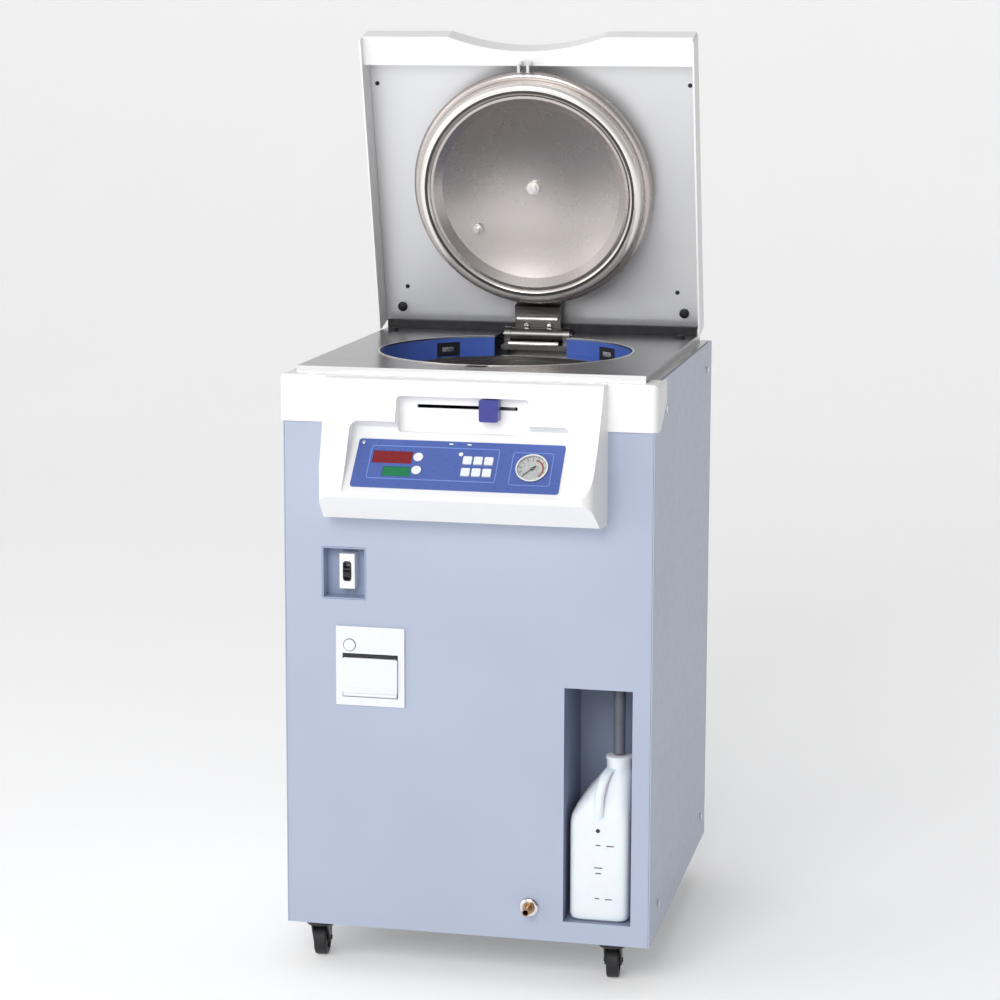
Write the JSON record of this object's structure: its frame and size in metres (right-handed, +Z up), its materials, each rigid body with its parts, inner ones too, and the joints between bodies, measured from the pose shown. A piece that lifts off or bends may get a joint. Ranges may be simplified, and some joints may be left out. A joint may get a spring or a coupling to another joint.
{
  "type": "vertical laboratory autoclave",
  "caption": "Vertical top-loading steam steriliser with hinged round pressure lid, sloping control console, printer, waste bottle and casters.",
  "frame": {"origin": "on the floor, at the middle of the outline's bounding box", "axes": "+Z up, the front faces -Y, +X to the viewer's right"},
  "size_m": [0.538, 0.674, 1.3438],
  "materials": {
    "cabinet_paint": "satin light blue-grey enamel",
    "frame_steel": "semi-gloss grey primer",
    "white_moulding": "fine satin moulding",
    "overlay_film": "printed polyester film",
    "display_red": "dark red filter window",
    "display_green": "green filter window",
    "lamp_white": "milky lens",
    "key_white": "smooth key cap",
    "gauge_steel": "turned",
    "gauge_glass": "clear flat lens",
    "needle_black": "matt black",
    "knob_navy": "smooth",
    "bolt_steel": "drawn bar",
    "plate_steel": "bright polished sheet",
    "chamber_steel": "satin pressed stainless",
    "lid_steel": "polished stainless",
    "ring_bright": "bright rolled stainless",
    "gasket_rubber": "moulded silicone",
    "collar_blue": "moulded blue",
    "block_black": "matt black",
    "strip_black": "matt black",
    "hinge_steel": "machined",
    "panel_steel": "satin sheet",
    "breaker_white": "satin",
    "toggle_black": "satin black",
    "recess_grey": "satin blue-grey",
    "printer_white": "satin",
    "bottle_white": "translucent natural polyethylene",
    "hose_grey": "smooth hose",
    "drain_brass": "turned",
    "bay_grey": "satin enamel",
    "heater_steel": "drawn sheath",
    "board_green": "solder mask",
    "gland_black": "nylon",
    "screw_chrome": "bright",
    "caster_black": "black coated steel",
    "caster_zinc": "zinc plated",
    "tread_black": "moulded rubber"
  },
  "bodies": {
    "cabinet": {"base_frame": "frame_steel", "side_panel_left": "cabinet_paint", "side_panel_right": "cabinet_paint", "front_panel": "cabinet_paint", "rear_panel": "cabinet_paint", "top_plate": "plate_steel", "front_console": "white_moulding", "control_overlay": "overlay_film", "temp_display": "display_red", "time_display": "display_green", "status_lamps": "lamp_white", "gauge_case": "gauge_steel", "gauge_lens": "gauge_glass", "switch_recess": "recess_grey", "breaker_body": "breaker_white", "printer_bezel": "printer_white", "bottle_compartment": "bay_grey", "drain_tube": "hose_grey", "drain_stub": "drain_brass", "chamber_vessel": "chamber_steel", "heater": "heater_steel", "guard_ring": "collar_blue", "interlock_blocks": "block_black", "hinge_bracket": "hinge_steel", "hinge_strip": "strip_black", "control_board": "board_green", "cord_gland": "gland_black", "panel_screws": "screw_chrome", "caster_plates": "caster_black"},
    "lid": {"cover_shell": "white_moulding", "cover_inner_panel": "panel_steel", "pressure_lid": "lid_steel", "lid_ring": "ring_bright", "lid_gasket": "gasket_rubber", "lid_fittings": "ring_bright", "hinge_arm": "hinge_steel", "catch_prongs": "bolt_steel"},
    "lever": {"lever_knob": "knob_navy", "lock_bolt": "bolt_steel"},
    "breaker_switch": {"breaker_toggle": "toggle_black"},
    "printer_key": {"printer_button": "printer_white"},
    "printer_flap": {"printer_door": "printer_white"},
    "pointer": {"gauge_needle": "needle_black"},
    "waste_bottle": {"bottle": "bottle_white"},
    "key_cap_1": {"key_1": "key_white"},
    "key_cap_2": {"key_2": "key_white"},
    "key_cap_3": {"key_3": "key_white"},
    "key_cap_4": {"key_4": "key_white"},
    "key_cap_5": {"key_5": "key_white"},
    "key_cap_6": {"key_6": "key_white"},
    "caster_front_left": {"fork_front_left": "caster_black"},
    "roller_front_left": {"wheel_front_left": "tread_black"},
    "caster_front_right": {"fork_front_right": "caster_black"},
    "roller_front_right": {"wheel_front_right": "tread_black"},
    "caster_rear_left": {"fork_rear_left": "caster_black"},
    "roller_rear_left": {"wheel_rear_left": "tread_black"},
    "caster_rear_right": {"fork_rear_right": "caster_black"},
    "roller_rear_right": {"wheel_rear_right": "tread_black"},
    "pedal_front_left": {"brake_front_left": "caster_zinc"},
    "pedal_front_right": {"brake_front_right": "caster_zinc"}
  },
  "joints": [
    {"name": "lid_hinge", "type": "hinge", "parent": "cabinet", "child": "lid", "pos_m": [0, 0.246, 0.874], "axis": [1, 0, 0], "range_deg": [0, 76]},
    {"name": "lever_slide", "type": "slide", "parent": "cabinet", "child": "lever", "axis": [1, 0, 0], "range_m": [-0.1, 0.032]},
    {"name": "key_press_1", "type": "slide", "parent": "cabinet", "child": "key_cap_1", "axis": [0, 0.7179, -0.6961], "range_m": [0, 0.0008], "stiffness_N_per_m": 800},
    {"name": "key_press_2", "type": "slide", "parent": "cabinet", "child": "key_cap_2", "axis": [0, 0.7179, -0.6961], "range_m": [0, 0.0008], "stiffness_N_per_m": 800},
    {"name": "key_press_3", "type": "slide", "parent": "cabinet", "child": "key_cap_3", "axis": [0, 0.7179, -0.6961], "range_m": [0, 0.0008], "stiffness_N_per_m": 800},
    {"name": "key_press_4", "type": "slide", "parent": "cabinet", "child": "key_cap_4", "axis": [0, 0.7179, -0.6961], "range_m": [0, 0.0008], "stiffness_N_per_m": 800},
    {"name": "key_press_5", "type": "slide", "parent": "cabinet", "child": "key_cap_5", "axis": [0, 0.7179, -0.6961], "range_m": [0, 0.0008], "stiffness_N_per_m": 800},
    {"name": "key_press_6", "type": "slide", "parent": "cabinet", "child": "key_cap_6", "axis": [0, 0.7179, -0.6961], "range_m": [0, 0.0008], "stiffness_N_per_m": 800},
    {"name": "breaker_flip", "type": "hinge", "parent": "cabinet", "child": "breaker_switch", "pos_m": [-0.174, -0.239, 0.587], "axis": [1, 0, 0], "range_deg": [-44, 0]},
    {"name": "printer_press", "type": "slide", "parent": "cabinet", "child": "printer_key", "axis": [0, 1, 0], "range_m": [0, 0.0012], "stiffness_N_per_m": 800},
    {"name": "printer_open", "type": "hinge", "parent": "cabinet", "child": "printer_flap", "pos_m": [-0.139, -0.252, 0.4102], "axis": [1, 0, 0], "range_deg": [0, 90]},
    {"name": "gauge_turn", "type": "hinge", "parent": "cabinet", "child": "pointer", "pos_m": [0.104, -0.30129, 0.75348], "axis": [0, -0.7179, 0.6961], "range_deg": [-270, 0]},
    {"name": "bottle_slide", "type": "slide", "parent": "cabinet", "child": "waste_bottle", "axis": [0, -1, 0], "range_m": [0, 0.25]},
    {"name": "swivel_front_left", "type": "hinge", "parent": "cabinet", "child": "caster_front_left", "pos_m": [-0.228, -0.207, 0.05], "axis": [0, 0, 1], "continuous": true},
    {"name": "roll_front_left", "type": "hinge", "parent": "caster_front_left", "child": "roller_front_left", "pos_m": [-0.22939, -0.19106, 0.025], "axis": [-0.9962, -0.0872, 0], "continuous": true},
    {"name": "swivel_front_right", "type": "hinge", "parent": "cabinet", "child": "caster_front_right", "pos_m": [0.206, -0.207, 0.05], "axis": [0, 0, 1], "continuous": true},
    {"name": "roll_front_right", "type": "hinge", "parent": "caster_front_right", "child": "roller_front_right", "pos_m": [0.20461, -0.19106, 0.025], "axis": [-0.9962, -0.0872, 0], "continuous": true},
    {"name": "swivel_rear_left", "type": "hinge", "parent": "cabinet", "child": "caster_rear_left", "pos_m": [-0.228, 0.269, 0.05], "axis": [0, 0, 1], "continuous": true},
    {"name": "roll_rear_left", "type": "hinge", "parent": "caster_rear_left", "child": "roller_rear_left", "pos_m": [-0.22253, 0.25396, 0.025], "axis": [0.9397, 0.342, 0], "continuous": true},
    {"name": "swivel_rear_right", "type": "hinge", "parent": "cabinet", "child": "caster_rear_right", "pos_m": [0.206, 0.269, 0.05], "axis": [0, 0, 1], "continuous": true},
    {"name": "roll_rear_right", "type": "hinge", "parent": "caster_rear_right", "child": "roller_rear_right", "pos_m": [0.20053, 0.25396, 0.025], "axis": [0.9397, -0.342, 0], "continuous": true},
    {"name": "pedal_front_left", "type": "hinge", "parent": "caster_front_left", "child": "pedal_front_left", "pos_m": [-0.22957, -0.18907, 0.046], "axis": [-0.9962, -0.0872, 0], "range_deg": [0, 8]},
    {"name": "pedal_front_right", "type": "hinge", "parent": "caster_front_right", "child": "pedal_front_right", "pos_m": [0.20443, -0.18907, 0.046], "axis": [-0.9962, -0.0872, 0], "range_deg": [0, 8]}
  ]
}
